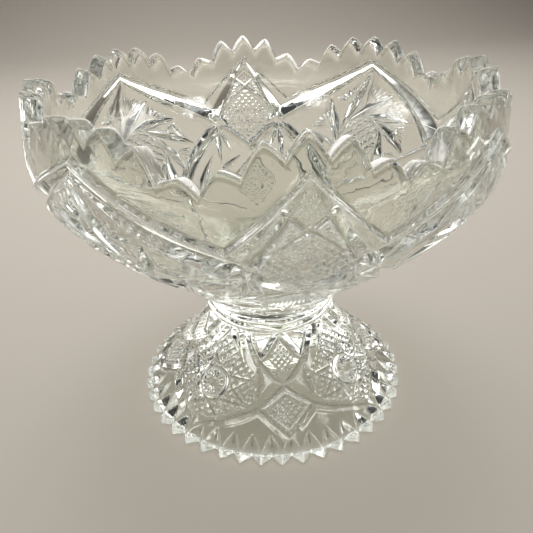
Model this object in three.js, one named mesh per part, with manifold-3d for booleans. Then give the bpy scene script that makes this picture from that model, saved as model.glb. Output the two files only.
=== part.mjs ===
// Footed candy dish of pressed clear glass, in millimetres, +Z up.
// The origin is the centre of the ring that the foot stands on.
// Three pieces: the bowl, the wafer of hot glass that joined it to its foot, and the hollow foot.
// The pressing is in four equal quarters. Each quarter of the bowl has one narrow diamond panel,
// centred on an axis, and one wide pinwheel panel, centred between two axes.

import * as THREE from 'three';
import { mergeVertices } from 'three/addons/utils/BufferGeometryUtils.js';
import Module from 'manifold-3d';

// ---- Driving dimensions ----

const QUARTERS = 4;
const JOINT_GAP = 0.3; // left between touching pieces

// Heights of the pieces
const footTop = 28.5;
const bowlBase = 33.9;

// Bowl
const neckRadius = 18.7;
const wallOuterRadius = 62.1; // widest, where the wall turns upright
const rimOuterRadius = 61.0;
const rimInnerRadius = 55;
const wallInnerRadius = 55.6;
const shoulderHeight = 84; // where the outer wall turns upright
const rimBandHeight = 91; // where the rim starts to lean in
const bowlFloor = 42; // inside, at the centre
const bowlSegments = 96; // two to each rim tooth
const wallSteps = 7;

// Rim teeth: an arch over each panel. The heights of the tips, tooth by tooth, run from the middle
// of a diamond panel to the middle of a pinwheel panel, and back in the next eighth of the rim.
const rimTeeth = 48;
const tipHeights = [99.4, 98, 93, 91.2, 96.2, 98.8, 99.4];
const crownHeight = Math.max(...tipHeights);
const notchDepth = 4; // below the mean of the tips on its two sides
const notchFlat = 0.4; // half the width of a notch's floor

// Long V-shaped mitres pressed into the bowl, each the straight chord between two points.
// A point is degrees round from the middle of a diamond panel, and height.
const bowlMitres = [
  { from: [45, 89.5], to: [12, 68.7] }, // over a pinwheel
  { from: [12, 68.7], to: [-12, 54] }, // under a diamond, crossing its mirror image
  { from: [0, 90.6], to: [12, 68.7] }, // beside a diamond
  { from: [12, 68.7], to: [45, 50.5] }, // under a pinwheel
];
const bowlMitreSink = 0.5; // how far the ends lie under the surface
const bowlMitreHeight = 6; // of the V's outline, more than the deepest cut
const mitreSlope = 1.35; // half-width of a V over its depth
const mitreOverrun = 3; // past each end, in the open

// Foot
const footRadius = 42.5;
const footEdgeHeight = 2.9;
const hollowRadius = 37.5;
const hollowHeight = 21.5;
const footTeeth = 44;
const footToothDepth = 2.3;
const footNotchRun = 4.6; // how far inward a notch runs up the foot's slope
const footNotchTop = 7.6;
const footNotchReach = 2.4; // the cutter's V over the notch's own depth and half-width
const footNotchLean = 0.6; // upward share of the direction that a notch faces
const footSegments = 88; // two to each tooth
const footSteps = 5;
const footMitres = [
  { from: [0, 24.5], to: [45, 9.5] },
  { from: [-24, 20.5], to: [28, 9] },
];
const footMitreSink = 0.3;
const footMitreHeight = 4;

// Wafer
const waferRadius = 18.7;
const beadRise = 1.1; // how far its two beads stand out
const waferSegments = 48;

// ---- Booleans ----

const wasm = await Module();
wasm.setup();

function toSolid(geometry) {
  const bare = geometry.index ? geometry.toNonIndexed() : geometry.clone();
  bare.deleteAttribute('normal');
  bare.deleteAttribute('uv');
  const merged = mergeVertices(bare, 1e-4);
  const vertProperties = new Float32Array(merged.attributes.position.array);
  const triVerts = new Uint32Array(merged.index.array);
  return new wasm.Manifold(new wasm.Mesh({ numProp: 3, vertProperties, triVerts }));
}

function toGeometry(solid) {
  const { vertProperties, triVerts } = solid.getMesh();
  const geometry = new THREE.BufferGeometry();
  geometry.setAttribute('position', new THREE.BufferAttribute(vertProperties, 3));
  geometry.setIndex(new THREE.BufferAttribute(triVerts, 1));
  geometry.computeVertexNormals();
  return geometry;
}

function cutAll(solid, cutters) {
  return cutters.reduce((body, cutter) => body.subtract(toSolid(cutter)), solid);
}

// ---- Shapes ----

// Turns an outline of [radius, height] pairs about the Z axis.
function turned(outline, segments) {
  const points = outline.map(([radius, height]) => new THREE.Vector2(radius, height));
  const geometry = new THREE.LatheGeometry(points, segments);
  geometry.rotateX(Math.PI / 2);
  return geometry;
}

// Points along a cubic curve in the plane of radius and height.
function curved(start, pull, push, end, steps) {
  const corners = [start, pull, push, end].map(([radius, height]) => new THREE.Vector2(radius, height));
  const curve = new THREE.CubicBezierCurve(...corners);
  return curve.getPoints(steps).map((point) => [point.x, point.y]);
}

function onCircle(radius, degrees, height) {
  const angle = THREE.MathUtils.degToRad(degrees);
  return new THREE.Vector3(radius * Math.cos(angle), radius * Math.sin(angle), height);
}

// Radius of an outline at a height, between its points.
function radiusAt(outline, height) {
  const next = outline.findIndex((point) => point[1] >= height);
  const [lowRadius, low] = outline[next - 1];
  const [highRadius, high] = outline[next];
  return THREE.MathUtils.mapLinear(height, low, high, lowRadius, highRadius);
}

// A prism of the given flat outline, from one point to another. The outline's own +Y points along up.
function prism(outline, from, to, up) {
  const shape = new THREE.Shape(outline.map(([x, y]) => new THREE.Vector2(x, y)));
  const along = to.clone().sub(from);
  const geometry = new THREE.ExtrudeGeometry(shape, { depth: along.length(), bevelEnabled: false });
  const zAxis = along.normalize();
  const xAxis = up.clone().cross(zAxis).normalize();
  const yAxis = zAxis.clone().cross(xAxis);
  const frame = new THREE.Matrix4().makeBasis(xAxis, yAxis, zAxis).setPosition(from);
  geometry.applyMatrix4(frame);
  return geometry;
}

// A V-shaped cutter whose sharp edge is the chord between two points of a turned surface.
function mitreCutter(outline, mitre, sink, height) {
  const [from, to] = [mitre.from, mitre.to].map(([degrees, z]) => {
    return onCircle(radiusAt(outline, z) - sink, degrees, z);
  });
  const middle = from.clone().add(to).multiplyScalar(0.5);
  const outward = surfaceNormal(outline, middle);
  const overrun = to.clone().sub(from).setLength(mitreOverrun);
  const vee = [[0, 0], [height * mitreSlope, height], [-height * mitreSlope, height]];
  return prism(vee, from.sub(overrun), to.add(overrun), outward);
}

// Outward normal of a turned surface beside a point.
function surfaceNormal(outline, point) {
  const step = 1;
  const rise = radiusAt(outline, point.z + step) - radiusAt(outline, point.z - step);
  const around = new THREE.Vector3(point.x, point.y, 0).normalize();
  return around.setZ(-rise / (2 * step)).normalize();
}

// The same mitre in every quarter, with its mirror image.
function mitreSet(outline, mitre, sink, height) {
  const cutters = [];
  for (let quarter = 0; quarter < QUARTERS; quarter++) {
    for (const side of [1, -1]) {
      const turn = ([degrees, z]) => [side * degrees + (quarter * 360) / QUARTERS, z];
      const turnedMitre = { from: turn(mitre.from), to: turn(mitre.to) };
      cutters.push(mitreCutter(outline, turnedMitre, sink, height));
    }
  }
  return cutters;
}

// ---- Bowl ----

const bowlOutside = curved(
  [neckRadius, bowlBase],
  [36, 53],
  [61.5, 65],
  [wallOuterRadius, shoulderHeight],
  wallSteps,
);
const rimOutside = [[wallOuterRadius - 0.2, rimBandHeight], [rimOuterRadius, crownHeight]];

const bowlInside = curved(
  [wallInnerRadius, shoulderHeight + 2],
  [54, 62],
  [19, bowlFloor],
  [0, bowlFloor],
  wallSteps,
);

// Height of a tooth's tip. Tooth 0 is over the middle of a diamond panel.
function tipHeight(tooth) {
  const perQuarter = rimTeeth / QUARTERS;
  const step = tooth % perQuarter;
  return tipHeights[Math.min(step, perQuarter - step)];
}

// One rim notch: a V with rounded shoulders, cut radially through the wall.
function rimNotch(index) {
  const pitch = 360 / rimTeeth;
  const degrees = (index + 0.5) * pitch;
  const halfWidth = wallOuterRadius * Math.tan(THREE.MathUtils.degToRad(pitch / 2));
  const rightTip = tipHeight(index + 1);
  const leftTip = tipHeight(index);
  const floor = (rightTip + leftTip) / 2 - notchDepth;
  const flank = (side, tip) => [
    [side * notchFlat, floor],
    [side * halfWidth * 0.7, THREE.MathUtils.lerp(floor, tip, 0.85)],
    [side * halfWidth * 1.02, tip],
    [side * halfWidth * 1.02, crownHeight + 3],
  ];
  const outline = [...flank(1, rightTip), ...flank(-1, leftTip).reverse()];
  const inner = onCircle(rimInnerRadius - 6, degrees, 0);
  const outer = onCircle(wallOuterRadius + 4, degrees, 0);
  return prism(outline, inner, outer, new THREE.Vector3(0, 0, 1));
}

function makeBowl() {
  const rimInside = [[rimInnerRadius, crownHeight]];
  const outline = [[0, bowlBase], ...bowlOutside, ...rimOutside, ...rimInside, ...bowlInside];
  const notches = Array.from({ length: rimTeeth }, (_, index) => rimNotch(index));
  const wall = [...bowlOutside, ...rimOutside];
  const mitres = bowlMitres.flatMap((mitre) => mitreSet(wall, mitre, bowlMitreSink, bowlMitreHeight));
  return cutAll(toSolid(turned(outline, bowlSegments)), [...notches, ...mitres]);
}

// ---- Foot ----

const footSlope = curved(
  [footRadius - 0.6, footEdgeHeight],
  [32, 9.5],
  [23.5, 19.5],
  [neckRadius, footTop],
  footSteps,
);

const footHollow = curved([0, hollowHeight], [20, 21], [27, 7.5], [hollowRadius, 0], footSteps);

// One V-shaped notch of the foot's edge, which runs up the slope and fades out.
function footNotch(index) {
  const degrees = (index * 360) / footTeeth;
  const low = onCircle(footRadius - footToothDepth + 1, degrees, -2);
  const high = onCircle(footRadius - footToothDepth - footNotchRun, degrees, footNotchTop);
  const halfWidth = footRadius * Math.tan(Math.PI / footTeeth);
  const [across, deep] = [halfWidth * footNotchReach, footToothDepth * footNotchReach];
  const vee = [[0, 0], [across, deep], [-across, deep]];
  const outward = onCircle(1, degrees, footNotchLean);
  return prism(vee, low, high, outward);
}

function makeFoot() {
  const outline = [...footHollow, [footRadius, 0], ...footSlope, [0, footTop]];
  const notches = Array.from({ length: footTeeth }, (_, index) => footNotch(index));
  const mitres = footMitres.flatMap((mitre) => mitreSet(footSlope, mitre, footMitreSink, footMitreHeight));
  return cutAll(toSolid(turned(outline, footSegments)), [...notches, ...mitres]);
}

// ---- Wafer ----

function makeWafer() {
  const low = footTop + JOINT_GAP;
  const high = bowlBase - JOINT_GAP;
  const middle = (low + high) / 2;
  const bead = (high - low) / 4;
  const outline = [
    [0, low],
    [waferRadius, low],
    [waferRadius + beadRise, low + bead],
    [waferRadius + beadRise / 3, middle],
    [waferRadius + beadRise, high - bead],
    [waferRadius, high],
    [0, high],
  ];
  return toSolid(turned(outline, waferSegments));
}

// ---- Assembly ----

function glass(color) {
  const finish = { roughness: 0.04, metalness: 0, transparent: true, opacity: 0.4 };
  return new THREE.MeshStandardMaterial({ color, ...finish });
}

const bowl = new THREE.Mesh(toGeometry(makeBowl()), glass(0xdfe8dc));
bowl.name = 'bowl';

const wafer = new THREE.Mesh(toGeometry(makeWafer()), glass(0xd6e2d2));
wafer.name = 'joining_wafer';

const foot = new THREE.Mesh(toGeometry(makeFoot()), glass(0xe1e9de));
foot.name = 'pedestal_foot';

const group = new THREE.Group();
group.add(bowl, wafer, foot);

export default group;
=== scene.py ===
"""Footed candy dish of clear pressed glass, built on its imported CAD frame.

The bowl and the foot are each one fine grid of points on a turned surface. The pattern of the
pressing (mitres, pinwheels, hobstars, hatching) is a map of depths below that surface, in
millimetres, worked out over one quarter of the dish and repeated four times.
"""
import math

import bpy
import numpy as np
from mathutils import Matrix, Vector


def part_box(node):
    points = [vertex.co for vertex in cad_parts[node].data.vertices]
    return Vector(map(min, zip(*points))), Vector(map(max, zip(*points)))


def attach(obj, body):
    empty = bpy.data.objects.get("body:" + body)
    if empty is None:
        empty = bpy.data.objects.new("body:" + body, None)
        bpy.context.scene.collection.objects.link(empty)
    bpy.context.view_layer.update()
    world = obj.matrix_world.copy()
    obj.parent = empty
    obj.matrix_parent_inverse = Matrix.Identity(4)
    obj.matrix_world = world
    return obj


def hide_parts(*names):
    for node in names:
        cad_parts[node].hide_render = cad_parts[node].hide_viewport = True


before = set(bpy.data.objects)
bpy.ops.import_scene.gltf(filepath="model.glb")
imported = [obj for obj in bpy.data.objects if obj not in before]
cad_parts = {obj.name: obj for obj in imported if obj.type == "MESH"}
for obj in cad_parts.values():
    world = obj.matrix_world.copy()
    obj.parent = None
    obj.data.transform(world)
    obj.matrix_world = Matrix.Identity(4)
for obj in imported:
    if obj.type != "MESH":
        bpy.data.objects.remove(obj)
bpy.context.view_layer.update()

MM = 0.001
QUARTERS = 4
QUARTER = 360 // QUARTERS  # degrees


def top_of(node):
    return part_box(node)[1][2] / MM


def bottom_of(node):
    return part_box(node)[0][2] / MM


# ---- Dimensions, in millimetres ----

BOWL_BASE = bottom_of("bowl")
CROWN = top_of("bowl")
FOOT_TOP = top_of("pedestal_foot")
FUSED_GAP = 0.1  # left between two fused pieces
JOINT_OVERLAP = 0.28  # the bowl reaches this far down past its CAD solid, towards the wafer
FOOT_OVERLAP = 0.13  # and the foot this far up
NECK = 18.7  # radius of both pieces at their joints
WALL_OUT = 62.1  # radius of the outer wall where it turns upright
RIM_OUT = 61.0  # and at the top of the rim
WALL_IN = 55.6
RIM_IN = 54.8
SHOULDER = 84.0  # height at which the outer wall turns upright
BOWL_FLOOR = 42.0  # inside, at the centre
BOWL_JOINT_FADE = 1.5  # the relief of the bowl dies out over this length above the joint

RIM_TEETH = 48
# heights of the teeth from the middle of a diamond panel to the middle of a pinwheel panel
TIP_HEIGHTS = np.array([99.4, 98.0, 93.0, 91.2, 96.2, 98.8, 99.4])
NOTCH_DEPTH = 3.9  # below the mean of the tips beside it
TIP_POWER = 1.5  # 1 gives straight flanks, more gives rounder tips
RIM_ROUND = 1.3  # height of the fire-polished edge's rounding
RIM_SQUARENESS = 0.55  # 1 gives a half-round edge, less gives a squarer one
RIM_EDGE_ROWS = 15
RIM_LEAN = 1.1  # the teeth are lower inside by this much
COLUMNS_PER_TOOTH = 36
BOWL_STEP = 0.23  # between rows of the outer wall
EVEN_ROWS_TOP = 74.0  # above this height the rows close up to follow the teeth
INSIDE_ROWS = 89

FOOT_RADIUS = 42.4
FOOT_EDGE = 3.3  # height of the upright face that the teeth are cut into
FOOT_EDGE_LEAN = 0.6  # that face leans in by this much at its top
FOOT_BEVEL = 0.15  # between that face and the ring that the foot stands on
HOLLOW_RADIUS = 37.5
HOLLOW_HEIGHT = 21.5
HOLLOW_ROWS = 69
FOOT_TEETH = 44
FOOT_NOTCH = 3.3  # depth of the notches between the teeth, at the table
FOOT_FLUTES_TOP = 6.8  # height at which the notches have died out on the slope
FLUTE_FADE = 2.2  # 1 fades them evenly, more keeps them deep for longer
FOOT_COLUMNS_PER_TOOTH = 32
FOOT_STEP = 0.2  # between rows of the outer surface
FOOT_JOINT_FADE = 1.2

WAFER_COLUMNS = 480
WAFER_ROWS = 61
BEAD_RISE = 0.9  # how far the wafer's two beads stand out
CUSP_RISE = 0.5  # and how much further under a diamond panel
CUSP_DEGREES = 9  # how quickly the cusps die out to the sides
CUSP_DIP = 0.12  # of the wafer's height

# Each point keeps a number that the glass material reads: 1 in a groove, -1 on a ridge. From it the
# material paints shade into the grooves and a highlight on the ridges.
RECESS_FULL = 0.35  # a groove this much deeper than what is beside it counts in full
RECESS_REACH = 2  # the surroundings are five points each way, this many rows or columns apart
FOOT_EDGE_PAINTED_HIGHLIGHT = -1  # on the foot's toothed edge: a painted highlight, for the light that the glass leads to it
BETWEEN_BEADS_PAINTED_SHADE = 1  # on the wafer, between its beads: painted shade
# less painted shade on the beads themselves
ON_BEADS_PAINTED_SHADE = 0.25


# ---- Turned surfaces ----

def bezier(start, pull, push, end, count=200):
    """Points along a cubic curve in the plane of radius and height."""
    t = np.linspace(0, 1, count)[:, None]
    corners = np.array([start, pull, push, end], float)
    weights = ((1 - t) ** 3, 3 * (1 - t) ** 2 * t, 3 * (1 - t) * t * t, t ** 3)
    return sum(w * c for w, c in zip(weights, corners))


class Outline:
    """A curve of radius and height, read by its slant: the distance along it."""

    def __init__(self, points):
        self.points = points
        self.slants = np.concatenate([[0], np.cumsum(np.hypot(*np.diff(points, axis=0).T))])
        self.length = self.slants[-1]

    def radius(self, slant):
        return np.interp(slant, self.slants, self.points[:, 0])

    def height(self, slant):
        return np.interp(slant, self.slants, self.points[:, 1])

    def slant(self, height):
        """The slant of a height, on an outline that only rises."""
        return np.interp(height, self.points[:, 1], self.slants)

    def normal(self, slant):
        """The outward direction, to the right of a rising outline."""
        step = 0.3
        low, high = np.maximum(slant - step, 0), np.minimum(slant + step, self.length)
        along_r = self.radius(high) - self.radius(low)
        along_z = self.height(high) - self.height(low)
        size = np.hypot(along_r, along_z)
        return along_z / size, -along_r / size


class Relief:
    """Depths pressed into one quarter of a turned surface. Angles are in radians.

    A place on it is a pair: its angle and its slant."""

    MITRE_REACH = 8  # no mitre is wider to either side than this
    LOCAL_REACH = 30  # and no other pattern reaches further from its centre
    LEAF_TIP = 0.12  # of a leaf's depth and width, left at its two ends
    SPOKE_TIP = (0.2, 0.3)  # of a spoke's depth and width, left at its outer end
    FLUTES_FULL = 1.6  # flutes have their full depth at the button's radius over this

    def __init__(self, outline, angles, slants):
        self.outline = outline
        self.angles = angles
        self.slants = slants  # rows by columns
        self.radii = outline.radius(slants)
        self.depth = np.zeros_like(slants)

    def columns(self, low, high):
        """The slice of columns between two angles."""
        first, last = np.searchsorted(self.angles, [low, high])
        return slice(max(first - 1, 0), last + 1)

    def press(self, columns, depth, keep=None):
        """Deepens the relief to at least this depth."""
        if keep is not None:
            depth = np.where(keep, depth, 0)
        self.depth[:, columns] = np.maximum(self.depth[:, columns], depth)

    def mitre(self, ends, depth, left, right=None):
        """A V-shaped groove from one place to another. Each of depth, left and right, the
        half-widths on its two sides, is a number or one for each end."""
        (a0, s0), (a1, s1) = ends
        right = left if right is None else right
        depth, left, right = (np.broadcast_to(v, 2) for v in (depth, left, right))
        reach = self.MITRE_REACH / self.radii.min()
        cols = self.columns(min(a0, a1) - reach, max(a0, a1) + reach)
        radius, slant = self.radii[:, cols], self.slants[:, cols]
        x, y = radius * (self.angles[cols] - a0), slant - s0
        dx, dy = radius * (a1 - a0), s1 - s0
        t = np.clip((x * dx + y * dy) / (dx * dx + dy * dy), 0, 1)
        off = np.hypot(x - t * dx, y - t * dy)
        on_left = dx * y - dy * x > 0
        half_left = left[0] + t * (left[1] - left[0])
        half_right = right[0] + t * (right[1] - right[0])
        half = np.where(on_left, half_left, half_right)
        deep = depth[0] + t * (depth[1] - depth[0])
        self.press(cols, deep * (1 - off / np.maximum(half, 1e-6)))

    def leaf(self, ends, depth, left, right, fullest=0.5):
        """A mitre that is pointed at both ends and deepest part of the way along."""
        (a0, s0), (a1, s1) = ends
        middle = (a0 + fullest * (a1 - a0), s0 + fullest * (s1 - s0))
        tip = self.LEAF_TIP
        self.mitre((ends[0], middle), (depth * tip, depth), (left * tip, left), (right * tip, right))
        self.mitre((middle, ends[1]), (depth, depth * tip), (left, left * tip), (right, right * tip))

    def local(self, centre):
        """The columns near a place, and how far round and up from it their points lie."""
        angle, slant = centre
        reach = self.LOCAL_REACH / self.outline.radius(slant)
        cols = self.columns(angle - reach, angle + reach)
        return cols, self.radii[:, cols] * (self.angles[cols] - angle), self.slants[:, cols] - slant

    def inside(self, corners, cols):
        """True where a point lies in a polygon of places, listed in turn."""
        angle = np.broadcast_to(self.angles[cols], self.slants[:, cols].shape)
        slant = self.slants[:, cols]
        found = np.zeros(slant.shape, bool)
        for (a0, s0), (a1, s1) in zip(corners, corners[1:] + corners[:1]):
            if s0 == s1:
                continue
            crosses = (s0 > slant) != (s1 > slant)
            found ^= crosses & (angle < a0 + (slant - s0) * (a1 - a0) / (s1 - s0))
        return found

    def hatch(self, corners, pitch, depth):
        """Two sets of small V grooves, at 45 degrees, that cross in a polygon and leave it full
        of points."""
        cols, x, y = self.local(tuple(np.mean(corners, axis=0)))
        lean = math.radians(45)
        wave = 0
        for side in (1, -1):
            across = (x * math.sin(lean) + side * y * math.cos(lean)) / pitch
            wave = np.maximum(wave, 1 - 2 * np.abs(across - np.round(across)))
        self.press(cols, depth * wave, self.inside(corners, cols))

    def ring(self, centre, radius, half, depth):
        """A round V groove."""
        cols, x, y = self.local(centre)
        self.press(cols, depth * (1 - np.abs(np.hypot(x, y) - radius) / half))

    def spokes(self, centre, count, inner, outer, half, depth, turn):
        """Grooves that radiate from a place, pointed at their outer ends."""
        angle, slant = centre
        scale = self.outline.radius(slant)
        thin, narrow = self.SPOKE_TIP
        for k in range(count):
            a = turn + 2 * math.pi * k / count
            near, far = (
                (angle + away * math.cos(a) / scale, slant + away * math.sin(a))
                for away in (inner, outer)
            )
            self.mitre((near, far), (depth, depth * thin), (half, half * narrow))

    def flutes(self, centre, count, radius, depth):
        """Wedges in a round button, which widen and deepen outwards from its middle."""
        cols, x, y = self.local(centre)
        away = np.hypot(x, y)
        turn = np.arctan2(y, x) * count / (2 * math.pi)
        wave = 1 - 2 * np.abs(turn - np.round(turn))
        deep = depth * wave * np.clip(away / radius * self.FLUTES_FULL, 0, 1)
        self.press(cols, deep, away < radius)

    def clear(self, centre, radius, depth=0):
        """Levels a round patch."""
        cols, x, y = self.local(centre)
        self.depth[:, cols] = np.where(np.hypot(x, y) < radius, depth, self.depth[:, cols])

    def swell(self, centre, half_round, half_up, height):
        """A low pyramid of four sides that stands proud."""
        cols, x, y = self.local(centre)
        share = 1 - np.abs(x) / half_round - np.abs(y) / half_up
        self.depth[:, cols] -= height * np.clip(share, 0, 1)

    def soften(self):
        """Rounds the edges off a little, as fire polishing does."""
        d = self.depth
        d = (np.roll(d, 1, 1) + 2 * d + np.roll(d, -1, 1)) / 4
        d[1:-1] = (d[:-2] + 2 * d[1:-1] + d[2:]) / 4
        self.depth = d

    def painted_shade_and_highlight(self):
        """How far each point lies below what is around it: 1 in grooves, -1 on ridges. The glass
        material paints shade into the grooves and a highlight on the ridges from it.
        """
        mean = self.depth
        for axis in (0, 1):
            mean = sum(np.roll(mean, k * RECESS_REACH, axis) for k in range(-2, 3)) / 5
        return np.clip((self.depth - mean) / RECESS_FULL, -1, 1)


# ---- Meshes ----

def grid_mesh(name, rows, ends, materials, joints, painted_shade_and_highlight):
    """A closed mesh of rings of points, with a fan of triangles to the axis at each of its ends.

    rows is rings by columns by 3, in millimetres, and ends has the heights of the two fans'
    middles. The fans named in joints, 0 for the first and -1 for the last, are flat and take the
    second material. The last argument, rings by columns, is kept for the glass material, which
    paints shade into the grooves and a highlight on the ridges from it."""
    count, columns = rows.shape[:2]
    verts = np.concatenate([rows.reshape(-1, 3), [[0, 0, ends[0]], [0, 0, ends[1]]]]) * MM
    here = np.arange(columns)
    after = np.roll(here, -1)
    base = np.arange(count - 1)[:, None] * columns
    quads = np.stack([base + here, base + after, base + columns + after, base + columns + here], -1)
    quads = quads.reshape(-1, 4)
    first = np.stack([np.full(columns, count * columns), after, here], -1)
    last_row = (count - 1) * columns
    last = np.stack([last_row + here, last_row + after, np.full(columns, count * columns + 1)], -1)
    loops = np.concatenate([quads.ravel(), first.ravel(), last.ravel()]).astype(np.int32)
    sizes = np.concatenate([np.full(len(quads), 4), np.full(2 * columns, 3)])
    mesh = bpy.data.meshes.new(name)
    mesh.vertices.add(len(verts))
    mesh.vertices.foreach_set("co", verts.astype(np.float32).ravel())
    mesh.loops.add(len(loops))
    mesh.loops.foreach_set("vertex_index", loops)
    mesh.polygons.add(len(sizes))
    starts = np.concatenate([[0], np.cumsum(sizes)[:-1]])
    mesh.polygons.foreach_set("loop_start", starts.astype(np.int32))
    smooth = np.ones(len(sizes), bool)
    slot = np.zeros(len(sizes), np.int32)
    fans = {0: slice(len(quads), len(quads) + columns), -1: slice(len(quads) + columns, None)}
    for which in joints:
        smooth[fans[which]] = False
        slot[fans[which]] = 1
    mesh.polygons.foreach_set("use_smooth", smooth)
    mesh.polygons.foreach_set("material_index", slot)
    for material in materials:
        mesh.materials.append(material)
    kept = mesh.attributes.new("painted_shade_and_highlight", "FLOAT", "POINT")
    kept.data.foreach_set("value", np.append(painted_shade_and_highlight.ravel(), [0, 0]).astype(np.float32))
    mesh.update(calc_edges=True)
    mesh.validate()
    piece = bpy.data.objects.new(name, mesh)
    bpy.context.scene.collection.objects.link(piece)
    return piece


def ring_points(angles, radii, heights):
    """Rings of points. radii and heights are rings by columns."""
    return np.stack([radii * np.cos(angles), radii * np.sin(angles), heights], -1)


def turned_rings(rings):
    """Whole rings of points from a quarter of each: a list of (radii, heights) blocks."""
    radii, heights = (np.tile(np.concatenate(part), (1, QUARTERS)) for part in zip(*rings))
    around = np.arange(radii.shape[1]) * 2 * math.pi / radii.shape[1]
    return ring_points(around, radii, heights)


# ---- Bowl ----

BOWL = Outline(np.concatenate([
    bezier((NECK, BOWL_BASE - JOINT_OVERLAP), (36, 53), (61.5, 65), (WALL_OUT, SHOULDER)),
    bezier((WALL_OUT, SHOULDER), (WALL_OUT, 89), (61.8, 93), (RIM_OUT, CROWN), 40)[1:],
]))
BOWL_INSIDE = Outline(np.concatenate([
    bezier((RIM_IN, CROWN), (RIM_IN, 94), (WALL_IN, 90), (WALL_IN, SHOULDER + 2), 40),
    bezier((WALL_IN, SHOULDER + 2), (54, 62), (19, BOWL_FLOOR), (0, BOWL_FLOOR))[1:],
]))


def on_bowl(degrees, height):
    """A place on the bowl."""
    return math.radians(degrees), float(BOWL.slant(height))


def tip_height(tooth):
    """Height of a tooth's tip. Tooth 0 is over the middle of a diamond panel."""
    in_quarter = RIM_TEETH // QUARTERS
    step = tooth.astype(int) % in_quarter
    return TIP_HEIGHTS[np.minimum(step, in_quarter - step)]


def rim_height(degrees):
    """Height of the sawtooth rim: rounded teeth with sharp notches between them."""
    place = degrees * RIM_TEETH / 360
    tooth = np.round(place)
    away = np.abs(place - tooth) * 2  # 0 at a tip, 1 in a notch
    tip = tip_height(tooth)
    beside = tip_height(tooth + np.sign(place - tooth))
    floor = (tip + beside) / 2 - NOTCH_DEPTH
    return tip - (tip - floor) * away ** TIP_POWER


def frame_mitres(relief):
    """The long mitres that frame the panels, between the middles of two diamonds."""
    for centre, side in ((0, 1), (QUARTER, -1)):
        def at(degrees, height):
            return on_bowl(centre + side * degrees, height)

        def both(ends, depth, above, below):
            left, right = (above, below) if side > 0 else (below, above)
            relief.mitre(ends, depth, left, right)

        junction = at(12, 68.7)
        # over the pinwheel, from its apex to the junction, then under the diamond to the neck
        both((junction, at(45, 89.9)), (3.3, 0.6), (5.6, 0.9), (2.6, 0.6))
        both((at(0, 61.6), junction), (2.2, 3.1), (2.4, 2.6), (1.7, 2.2))
        both((at(-21, 50.5), at(0, 61.6)), (2.0, 2.2), 2.2, 1.8)
        both((at(-45, 39.5), at(-21, 50.5)), (1.1, 2.0), 1.9, 1.6)
        # beside the diamond, from its apex to the junction, then under the pinwheel to the neck
        both((junction, at(0, 91.2)), (3.1, 0.5), (0.9, 0.4), (4.4, 0.7))
        both((junction, at(45, 50.2)), (2.9, 2.1), (2.0, 1.8), (2.4, 2.0))
        both((at(45, 50.2), at(78, 38)), (2.1, 1.0), 1.8, 1.8)
        relief.swell(junction, 3.4, 4.2, 1.3)
        # the small kite under the junction
        relief.leaf((junction, at(14.5, 56.8)), 1.8, 1.0, 1.0, 0.4)
        relief.leaf((junction, at(8.4, 60.3)), 1.8, 0.9, 0.9, 0.4)
        relief.leaf((at(3, 60.0), at(19, 54.5)), 1.5, 1.3, 1.3)
        # long flutes between the two mitres that run to the neck
        relief.leaf((at(15, 61.5), at(38, 47)), 1.4, 1.5, 1.5)


def diamond_panel(relief, centre):
    """A narrow panel: fine hatching over a star button in a field of hobnails."""
    def at(degrees, height):
        return on_bowl(centre + degrees, height)

    relief.hatch([at(0, 90.2), at(3.7, 86.0), at(0, 82.5), at(-3.7, 86.0)], 1.25, 0.62)
    for side in (1, -1):
        relief.mitre((at(side * -4.4, 85.5), at(side * 7.8, 75.0)), 1.3, 0.9)
        for reach, height in ((4.6, 82.5), (5.7, 80.6), (6.8, 78.4)):
            relief.leaf((at(side * 1.3, 81.3), at(side * reach, height)), 0.9, 0.5, 0.5)
    field = [at(0, 80.4), at(7, 75.0), at(10.3, 69.8), at(0, 63.6), at(-10.3, 69.8), at(-7, 75.0)]
    relief.hatch(field, 1.75, 0.85)
    star = at(0, 71.2)
    relief.spokes(star, 8, 3.3, 6.6, 0.7, 1.35, math.pi / 8)
    relief.clear(star, 3.6)
    relief.ring(star, 3.3, 0.5, 1.0)
    relief.flutes(star, 12, 3.0, 0.8)
    # the hatched diamond below, which runs down to the neck
    relief.hatch([at(0, 59.0), at(12.5, 52.6), at(0, 41.5), at(-12.5, 52.6)], 1.5, 0.75)
    relief.leaf((at(-9, 44.6), at(9, 44.6)), 1.4, 1.1, 1.1)


# Tips of the pinwheel's vanes round half a turn, from its middle, in millimetres round and up.
VANE_TIPS = [(0.0, 25.0), (-8.5, 17.3), (-16.8, 9.2), (-20.6, -1.6), (-13.2, -13.6)]
VANE_TURN = math.radians(-83)  # from a vane's tip round to its root
ROOT_RADIUS = 8.2
WHEEL_HEIGHT = 65.6  # of the wheel's middle
HUB_RADIUS = 7.4
HUB_PITCH = 3.4  # between the nails on the hub
FAN_STROKES = 6
FAN_OFFSET = 2.3  # how far a fan's focus stands off the vane that it springs from
FAN_LENGTH = 0.97  # of the way to the line between two tips


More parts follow.
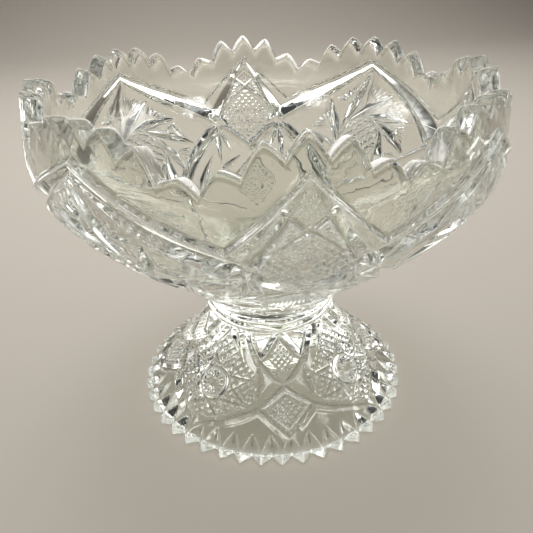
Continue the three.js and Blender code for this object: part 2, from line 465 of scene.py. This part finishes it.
def pinwheel_panel(relief, centre):
    """A wide panel: a wheel of ten lopsided vanes with a fan of strokes between each two."""
    middle = on_bowl(centre, WHEEL_HEIGHT)
    scale = float(BOWL.radius(middle[1]))

    def at(x, y):
        return middle[0] + x / scale, middle[1] + y

    tips = [Vector(tip) for tip in VANE_TIPS]
    tips += [-tip for tip in tips]
    roots = []
    for tip in tips:
        angle = math.atan2(tip.y, tip.x) + VANE_TURN
        roots.append(Vector((math.cos(angle), math.sin(angle))) * ROOT_RADIUS)
    for k, tip in enumerate(tips):
        # strokes fan out from beside the middle of the next vane to the line between the two tips
        following = (k + 1) % len(tips)
        next_tip, next_root = tips[following], roots[following]
        along = (next_root - next_tip).normalized()
        outward = Vector((along.y, -along.x))
        if outward.dot(next_tip) < 0:
            outward = -outward
        focus = next_tip.lerp(next_root, 0.5) + outward * FAN_OFFSET
        for j in range(FAN_STROKES):
            end = tip.lerp(next_tip, (j + 0.6) / (FAN_STROKES + 0.2)) * FAN_LENGTH
            relief.leaf((at(*focus), at(*end)), 1.3, 0.8, 0.8, 0.38)
    for tip, root in zip(tips, roots):
        relief.leaf((at(*root), at(*tip)), 3.0, 1.1, 2.9, 0.55)
    hub = at(0, 0)
    cols, x, y = relief.local(hub)
    on_hub = np.hypot(x, y) < HUB_RADIUS
    relief.clear(hub, HUB_RADIUS, 0.25)
    nails = np.cos(2 * math.pi * x / HUB_PITCH) * np.cos(2 * math.pi * y / HUB_PITCH)
    relief.press(cols, 0.8 - 0.6 * nails, on_hub)


PLAIN_BAND_EDGE = [(0, 91.6), (15, 76.1), (45, 91.6), (75, 76.1), (90, 91.6)]  # degrees, height
PLAIN_BAND_DEPTH = 1.25
PLAIN_BAND_SLOPE = 0.9  # length of the slope down to it from the relief


def plain_rim(relief):
    """The plain band above the panels, which stands back from the relief."""
    degrees, heights = zip(*PLAIN_BAND_EDGE)
    edge = np.interp(np.degrees(relief.angles), degrees, [BOWL.slant(z) for z in heights])
    over = np.clip((relief.slants - edge) / PLAIN_BAND_SLOPE, 0, 1)
    relief.press(slice(None), PLAIN_BAND_DEPTH * over)


def bowl_grid():
    """Angles of the columns, and slants of the points: even rows, then rows up to the teeth."""
    columns = RIM_TEETH * COLUMNS_PER_TOOTH // QUARTERS
    degrees = np.arange(columns) * QUARTER / columns
    even_top = float(BOWL.slant(EVEN_ROWS_TOP))
    even = np.arange(0, even_top, BOWL_STEP)
    even = np.repeat(even[:, None], columns, 1)
    rim = BOWL.slant(rim_height(degrees) - RIM_ROUND)
    rows_above = int((BOWL.length - even_top) / BOWL_STEP)
    share = np.linspace(0, 1, rows_above)[:, None]
    return np.radians(degrees), np.concatenate([even, even_top + share * (rim - even_top)])


def make_bowl(materials):
    angles, slants = bowl_grid()
    relief = Relief(BOWL, angles, slants)
    for centre in (0, QUARTER):
        diamond_panel(relief, centre)
    pinwheel_panel(relief, QUARTER / 2)
    frame_mitres(relief)
    plain_rim(relief)
    relief.soften()
    fade = np.clip(slants / BOWL_JOINT_FADE, 0, 1)  # no relief at the joint
    normal_r, normal_z = BOWL.normal(slants)
    depth = relief.depth * fade
    radii = relief.radii - depth * normal_r
    heights = BOWL.height(slants) - depth * normal_z
    rim = rim_height(np.degrees(angles))
    outer = radii[-1]
    inner_z = rim - RIM_ROUND - RIM_LEAN
    start = np.interp(-inner_z, -BOWL_INSIDE.points[:, 1], BOWL_INSIDE.slants)
    inner = BOWL_INSIDE.radius(start)
    # the rounded top edge, from the outer wall over to the inner
    turn = np.linspace(0, math.pi, RIM_EDGE_ROWS + 2)[1:-1, None]
    across = np.sign(np.cos(turn)) * np.abs(np.cos(turn)) ** RIM_SQUARENESS
    over_r = (outer + inner) / 2 + across * (outer - inner) / 2
    swell = RIM_ROUND * np.sin(turn) ** RIM_SQUARENESS
    over_z = rim - RIM_ROUND + swell - RIM_LEAN * (1 - across) / 2
    # down the inside, in rows that close up a little towards the bottom
    share = np.linspace(0, 1, INSIDE_ROWS + 1)[:-1, None] ** 0.9
    inside = start + share * (BOWL_INSIDE.length - start)
    inner_wall = (BOWL_INSIDE.radius(inside), BOWL_INSIDE.height(inside))
    rows = turned_rings([(radii, heights), (over_r, over_z), inner_wall])
    # painted shade in the grooves and painted highlight on the ridges, none on the rim or inside
    painted_shade_and_highlight = np.zeros(rows.shape[:2])
    painted_shade_and_highlight[:len(radii)] = np.tile(relief.painted_shade_and_highlight() * fade, (1, QUARTERS))
    base = float(BOWL.points[0, 1])
    return grid_mesh("bowl_glass", rows, (base, BOWL_FLOOR), materials, [0], painted_shade_and_highlight)


# ---- Foot ----

FOOT_SHOULDER = (FOOT_RADIUS - FOOT_EDGE_LEAN, FOOT_EDGE)
FOOT = Outline(np.concatenate([
    bezier((FOOT_RADIUS, 0.5), (FOOT_RADIUS, 1.4), (FOOT_RADIUS, 2.2), FOOT_SHOULDER, 30),
    bezier(FOOT_SHOULDER, (32, 9.5), (23.5, 19.5), (NECK, FOOT_TOP + FOOT_OVERLAP))[1:],
]))
FOOT_HOLLOW = Outline(bezier((0, HOLLOW_HEIGHT), (20, 21), (27, 7.5), (HOLLOW_RADIUS, 0)))


def on_foot(degrees, height):
    """A place on the foot."""
    return math.radians(degrees), float(FOOT.slant(height))


def foot_column(relief, centre):
    """Two hatched diamonds, one over the other, between crossing mitres."""
    def at(degrees, height):
        return on_foot(centre + degrees, height)

    relief.hatch([at(0, 27.2), at(9.6, 22.3), at(0, 18.2), at(-9.6, 22.3)], 1.3, 0.6)
    relief.hatch([at(0, 14.4), at(11.0, 11.4), at(0, 7.6), at(-11.0, 11.4)], 1.5, 0.75)
    for side in (1, -1):
        # from the cusp under the collar down the two sides, and back up to the neck
        relief.mitre((at(0, 28.4), at(side * 15.5, 21.4)), (1.5, 1.9), 1.6)
        relief.mitre((at(side * 15.5, 21.4), at(side * 28, 28.2)), (1.9, 1.1), (1.6, 1.2))
        upper, lower = (2.8, 1.2) if side > 0 else (1.2, 2.8)
        relief.mitre((at(side * -15.5, 21.4), at(side * 15.5, 11.6)), 1.8, upper, lower)
        relief.mitre((at(side * 15.5, 11.6), at(side * 43, 6.4)), (2.0, 1.0), 2.0)
        relief.mitre((at(side * 15.5, 11.6), at(0, 6.3)), (1.6, 1.1), 1.5)
        relief.leaf((at(side * 15.5, 21.8), at(side * 16, 11.2)), 1.7, 1.9, 1.9)


def foot_star(relief, centre):
    """A fluted button in an eight-pointed star of mitres, over small hobnails."""
    def at(degrees, height):
        return on_foot(centre + degrees, height)

    field = [at(0, 26.5), at(26, 18.5), at(27, 12), at(0, 6.8), at(-27, 12), at(-26, 18.5)]
    relief.hatch(field, 1.9, 0.8)
    button = at(0, 14.4)
    angle, slant = button
    scale = float(FOOT.radius(slant))
    across, up = 12.5, 9.6
    points = []
    for k in range(8):
        a = math.pi / 8 + k * math.pi / 4
        points.append((angle + across * math.cos(a) / scale, slant + up * math.sin(a)))
    for k in range(8):
        relief.mitre((points[k], points[(k + 3) % 8]), 1.3, 0.9)
    relief.clear(button, 5.4)
    relief.ring(button, 4.9, 0.7, 1.3)
    relief.flutes(button, 14, 3.4, 1.0)
    for side in (1, -1):
        relief.mitre((at(side * 4, 27.6), at(side * 22, 17.6)), (1.1, 0.7), 1.2)


def foot_teeth(relief):
    """Radial notches that run from the edge up the slope and fade out."""
    teeth = np.degrees(relief.angles) * FOOT_TEETH / 360
    away = np.abs(teeth - np.round(teeth)) * 2  # 0 in a notch, 1 at a tip
    up = relief.slants / float(FOOT.slant(FOOT_FLUTES_TOP))
    relief.press(slice(None), FOOT_NOTCH * (1 - up ** FLUTE_FADE - 0.92 * away))


def make_foot(materials):
    columns = FOOT_TEETH * FOOT_COLUMNS_PER_TOOTH // QUARTERS
    angles = np.radians(np.arange(columns) * QUARTER / columns)
    even = np.linspace(0, FOOT.length, int(FOOT.length / FOOT_STEP))
    slants = np.repeat(even[:, None], columns, 1)
    relief = Relief(FOOT, angles, slants)
    for centre in (0, QUARTER):
        foot_column(relief, centre)
    foot_star(relief, QUARTER / 2)
    foot_teeth(relief)
    relief.soften()
    fade = np.clip((FOOT.length - slants) / FOOT_JOINT_FADE, 0, 1)  # no relief at the joint
    depth = relief.depth * fade
    normal_r, normal_z = FOOT.normal(slants)
    upwards = np.clip(slants / 3, 0, 1)  # 0 at the edge, where the notches go straight in
    radii = relief.radii - depth * (upwards * normal_r + 1 - upwards)
    heights = FOOT.height(slants) - depth * upwards * normal_z
    # the hollow, the flat ring that the foot stands on, and the bevel outside it
    hollow = np.linspace(0, FOOT_HOLLOW.length, HOLLOW_ROWS + 1)[1:, None] + 0 * angles
    edge = radii[0]
    share = np.array([0.12, 0.45, 0.8])[:, None]
    flat_r = HOLLOW_RADIUS + share * (edge - 0.5 - HOLLOW_RADIUS)
    rows = turned_rings([
        (FOOT_HOLLOW.radius(hollow), FOOT_HOLLOW.height(hollow)),
        (flat_r, 0 * flat_r),
        ((edge - FOOT_BEVEL)[None], FOOT_BEVEL + 0 * edge[None]),
        (radii, heights),
    ])
    # painted shade in the grooves, painted highlight on the ridges and on the toothed edge
    painted_shade_and_highlight = np.zeros(rows.shape[:2])
    painted_edge_highlight = FOOT_EDGE_PAINTED_HIGHLIGHT * np.clip(2 - slants / float(FOOT.slant(FOOT_EDGE)), 0, 1)
    own = relief.painted_shade_and_highlight()
    own = np.where(painted_edge_highlight < 0, np.minimum(own, painted_edge_highlight), own * fade)
    painted_shade_and_highlight[-len(radii):] = np.tile(own, (1, QUARTERS))
    top = float(FOOT.points[-1, 1])
    return grid_mesh("foot_glass", rows, (HOLLOW_HEIGHT, top), materials, [-1], painted_shade_and_highlight)


# ---- Wafer ----

def make_wafer(materials):
    """The collar: two beads that dip to a point below each diamond panel."""
    around = np.arange(WAFER_COLUMNS) * 2 * math.pi / WAFER_COLUMNS
    low = float(FOOT.points[-1, 1]) + FUSED_GAP
    high = float(BOWL.points[0, 1]) - FUSED_GAP
    share = np.linspace(0, 1, WAFER_ROWS)[:, None]
    degrees = np.degrees(around) % QUARTER
    cusp = np.exp(-np.minimum(degrees, QUARTER - degrees) / CUSP_DEGREES)
    middling = np.sin(math.pi * share)  # 0 at the joints, 1 halfway between them
    level = share - CUSP_DIP * (0.5 - cusp) * middling
    beads = np.abs(np.sin(2 * math.pi * np.clip(level, 0, 1)))
    radii = NECK + (BEAD_RISE + CUSP_RISE * cusp) * beads * middling ** 0.4
    heights = low + share * (high - low) + 0 * radii
    rows = ring_points(around, radii, heights)
    # painted shade between the beads, less on them
    painted_shade_and_highlight = BETWEEN_BEADS_PAINTED_SHADE + (ON_BEADS_PAINTED_SHADE - BETWEEN_BEADS_PAINTED_SHADE) * beads
    return grid_mesh("wafer_glass", rows, (low, high), materials, [0, -1], painted_shade_and_highlight)


# ---- Materials ----

GLASS_TINT = (0.963, 0.98, 0.935, 1)  # a slight grey-green cast
# painted shade, mixed in at the bottoms of the grooves
GROOVE_PAINTED_SHADE = (0.51, 0.52, 0.44, 1)
# transmission left on the ridges, so that they show a whiter painted highlight
RIDGE_PAINTED_HIGHLIGHT_TRANSMISSION = 0.7
SHADOW_TINT = (0.93, 0.935, 0.925, 1)  # of light that has passed one surface of the glass
FLOOR_TINT = (0.58, 0.53, 0.465, 1)


def node(tree, kind, inputs=None, **settings):
    """A new shader node, with constants on its inputs."""
    made = tree.nodes.new(kind)
    for key, value in settings.items():
        setattr(made, key, value)
    for key, value in (inputs or {}).items():
        made.inputs[key].default_value = value
    return made


def glass_material():
    """Clear pressed glass: fire-polished, faintly wavy, with painted shade in its grooves and a
    painted highlight on its ridges.
    """
    material = bpy.data.materials.new("clear_pressed_glass")
    material.use_nodes = True
    tree = material.node_tree
    shader = tree.nodes["Principled BSDF"]
    output = tree.nodes["Material Output"]
    # all but the IOR are for viewers that can't read the nodes linked below
    shader.inputs["Base Color"].default_value = GLASS_TINT
    shader.inputs["Roughness"].default_value = 0.02
    shader.inputs["IOR"].default_value = 1.51
    shader.inputs["Transmission Weight"].default_value = 1
    where = node(tree, "ShaderNodeTexCoord")
    # the skin of the glass carries the ripple that the iron mould left
    ripple = node(tree, "ShaderNodeTexNoise", {"Scale": 190, "Detail": 2})
    bump = node(tree, "ShaderNodeBump", {"Strength": 0.25, "Distance": 0.0004})
    # and is a little duller in patches
    patches = node(tree, "ShaderNodeTexNoise", {"Scale": 60, "Detail": 4})
    dull = node(
        tree, "ShaderNodeMapRange",
        {"From Min": 0.45, "From Max": 0.75, "To Min": 0.012, "To Max": 0.06},
    )
    for texture in (ripple, patches):
        tree.links.new(where.outputs["Object"], texture.inputs["Vector"])
    tree.links.new(ripple.outputs["Fac"], bump.inputs["Height"])
    tree.links.new(bump.outputs["Normal"], shader.inputs["Normal"])
    tree.links.new(patches.outputs["Fac"], dull.inputs["Value"])
    tree.links.new(dull.outputs["Result"], shader.inputs["Roughness"])
    # painted shade darkens the bottoms of the grooves, and a painted highlight makes the ridges a
    # little white
    painted_shade_and_highlight = node(tree, "ShaderNodeAttribute", attribute_name="painted_shade_and_highlight")
    groove_painted_shade = node(tree, "ShaderNodeMix", {"A": GLASS_TINT, "B": GROOVE_PAINTED_SHADE}, data_type="RGBA")
    tree.links.new(painted_shade_and_highlight.outputs["Fac"], groove_painted_shade.inputs["Factor"])
    tree.links.new(groove_painted_shade.outputs["Result"], shader.inputs["Base Color"])
    ridge_painted_highlight = node(
        tree, "ShaderNodeMapRange",
        {"From Min": -1, "From Max": -0.2, "To Min": RIDGE_PAINTED_HIGHLIGHT_TRANSMISSION, "To Max": 1},
    )
    tree.links.new(painted_shade_and_highlight.outputs["Fac"], ridge_painted_highlight.inputs["Value"])
    tree.links.new(ridge_painted_highlight.outputs["Result"], shader.inputs["Transmission Weight"])
    # lamps shine through it on to the floor, as they do through thin clear glass
    path = node(tree, "ShaderNodeLightPath")
    clear = node(tree, "ShaderNodeBsdfTransparent", {"Color": SHADOW_TINT})
    either = node(tree, "ShaderNodeMixShader")
    tree.links.new(path.outputs["Is Shadow Ray"], either.inputs[0])
    tree.links.new(shader.outputs["BSDF"], either.inputs[1])
    tree.links.new(clear.outputs["BSDF"], either.inputs[2])
    tree.links.new(either.outputs["Shader"], output.inputs["Surface"])
    return material


def joint_material(glass):
    """The faces where two pieces are fused: glass against glass, so light goes straight on."""
    material = glass.copy()
    material.name = "fused_joint_glass"
    tree = material.node_tree
    inputs = tree.nodes["Principled BSDF"].inputs
    for link in [*inputs["Normal"].links]:
        tree.links.remove(link)
    plain = {"Base Color": (1, 1, 1, 1), "Roughness": 0, "Transmission Weight": 1}
    for name, value in plain.items():
        for link in [*inputs[name].links]:
            tree.links.remove(link)
        inputs[name].default_value = value
    inputs["IOR"].default_value = 1
    return material


def floor_material():
    material = bpy.data.materials.new("studio_floor")
    material.use_nodes = True
    inputs = material.node_tree.nodes["Principled BSDF"].inputs
    inputs["Base Color"].default_value = FLOOR_TINT
    inputs["Roughness"].default_value = 0.9
    return material


# ---- Stage ----

def make_floor():
    """A pale sweep: a floor that bends up into a wall behind the dish. Returns its collection."""
    mesh = bpy.data.meshes.new("floor")
    half, back, rise, bend = 1.6, 1.0, 1.5, 0.35
    under = 0.0001  # left between the floor and the foot
    bend_steps = 16
    outline = [(-half, 0.0), (back - bend, 0.0)]
    for k in range(1, bend_steps + 1):
        a = math.pi / 2 * k / bend_steps
        outline.append((back - bend + bend * math.sin(a), bend - bend * math.cos(a)))
    outline.append((back, rise))
    verts = [(x, y, z - under) for y, z in outline for x in (-half, half)]
    faces = [(2 * i, 2 * i + 1, 2 * i + 3, 2 * i + 2) for i in range(len(outline) - 1)]
    mesh.from_pydata(verts, [], faces)
    mesh.materials.append(floor_material())
    mesh.shade_smooth()
    floor = bpy.data.objects.new("studio_floor", mesh)
    bpy.context.scene.collection.objects.link(floor)
    stage = bpy.data.collections.new("stage")
    stage.objects.link(floor)
    return stage


DISH_MIDDLE = (0, 0, 0.06)


def soft_box(name, position, size, radiance, only_for, aim=DISH_MIDDLE, spread=180):
    """A rectangular light that fades towards its edges and lights one collection."""
    data = bpy.data.lights.new(name, "AREA")
    data.shape = "RECTANGLE"
    data.size, data.size_y = size
    data.energy = radiance * math.pi * size[0] * size[1]
    data.spread = math.radians(spread)
    data.use_nodes = True
    tree = data.node_tree
    across = node(tree, "ShaderNodeSeparateXYZ")
    tree.links.new(node(tree, "ShaderNodeNewGeometry").outputs["Parametric"], across.inputs[0])
    fades = []
    for axis in ("X", "Y"):
        # 0 at the two edges, 1 over the middle
        middle = node(tree, "ShaderNodeMath", {1: 0.5}, operation="PINGPONG")
        fade = node(
            tree, "ShaderNodeMapRange", {"From Max": 0.3}, interpolation_type="SMOOTHSTEP"
        )
        tree.links.new(across.outputs[axis], middle.inputs[0])
        tree.links.new(middle.outputs[0], fade.inputs["Value"])
        fades.append(fade.outputs["Result"])
    both = node(tree, "ShaderNodeMath", operation="MULTIPLY")
    for source, target in zip(fades, both.inputs):
        tree.links.new(source, target)
    tree.links.new(both.outputs[0], tree.nodes["Emission"].inputs["Strength"])
    light = bpy.data.objects.new(name, data)
    turn = (Vector(aim) - Vector(position)).to_track_quat("-Z", "Y").to_matrix().to_4x4()
    light.matrix_world = Matrix.Translation(position) @ turn
    light.visible_camera = False
    light.light_linking.receiver_collection = only_for
    bpy.context.scene.collection.objects.link(light)


def make_lights(glassware, bowl, foot, floor):
    """Boxes round the dish for its highlights, one over the floor, and a dim even background."""
    soft_box("back", (0.1, 0.8, 0.36), (1.7, 0.62), 3.2, glassware)
    soft_box("left", (-0.8, 0.1, 0.34), (0.55, 0.4), 6, glassware)
    soft_box("right", (0.8, 0.0, 0.3), (0.5, 0.4), 6, glassware)
    soft_box("front_left", (-0.5, -0.62, 0.46), (0.34, 0.34), 10, glassware)
    soft_box("front_right", (0.52, -0.58, 0.44), (0.3, 0.34), 10, glassware)
    soft_box("front_low", (0, -0.9, 0.13), (1.5, 0.18), 5, bowl)
    soft_box("foot_fill", (0, -0.75, 0.5), (1.2, 0.35), 8.5, foot)
    soft_box("floor_key", (0, 0.3, 1.1), (0.7, 0.7), 5.6, floor, (0, 0.26, 0), 96)
    world = bpy.data.worlds.new("studio")
    world.use_nodes = True
    background = world.node_tree.nodes["Background"]
    background.inputs["Color"].default_value = (0.86, 0.9, 0.92, 1)
    background.inputs["Strength"].default_value = 0.08
    bpy.context.scene.world = world


def make_camera():
    """Looks down at the dish from close by, as a hand-held phone does."""
    position = Vector((-18.5, -152.4, 126.8)) * MM
    forward = Vector((0.0997, 0.8652, -0.4914)).normalized()
    roll = math.radians(1.78)
    data = bpy.data.cameras.new("camera")
    data.sensor_width = 36
    data.lens = 38.73
    data.clip_start = 0.005
    camera = bpy.data.objects.new("camera", data)
    turn = forward.to_track_quat("-Z", "Y").to_matrix().to_4x4() @ Matrix.Rotation(-roll, 4, "Z")
    camera.matrix_world = Matrix.Translation(position) @ turn
    bpy.context.scene.collection.objects.link(camera)
    bpy.context.scene.camera = camera


# ---- Scene ----

def place(piece, node_name):
    """Puts a piece of glass in its CAD node's place, and in the lights' main collection."""
    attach(piece, "root")
    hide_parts(node_name)
    glassware.objects.link(piece)
    return piece


make_camera()
glassware = bpy.data.collections.new("glassware")
glass = glass_material()
joint = joint_material(glass)
bowl_only = bpy.data.collections.new("bowl_only")
bowl_only.objects.link(place(make_bowl([glass, joint]), "bowl"))
place(make_wafer([glass, joint]), "joining_wafer")
foot_only = bpy.data.collections.new("foot_only")
foot_only.objects.link(place(make_foot([glass, joint]), "pedestal_foot"))
make_lights(glassware, bowl_only, foot_only, make_floor())

cycles = bpy.context.scene.cycles
cycles.max_bounces = 24
cycles.transmission_bounces = 24
cycles.glossy_bounces = 8
cycles.caustics_reflective = False
cycles.caustics_refractive = False
view = bpy.context.scene.view_settings
view.view_transform = "Standard"
view.look = "Medium High Contrast"
view.exposure = -0.3
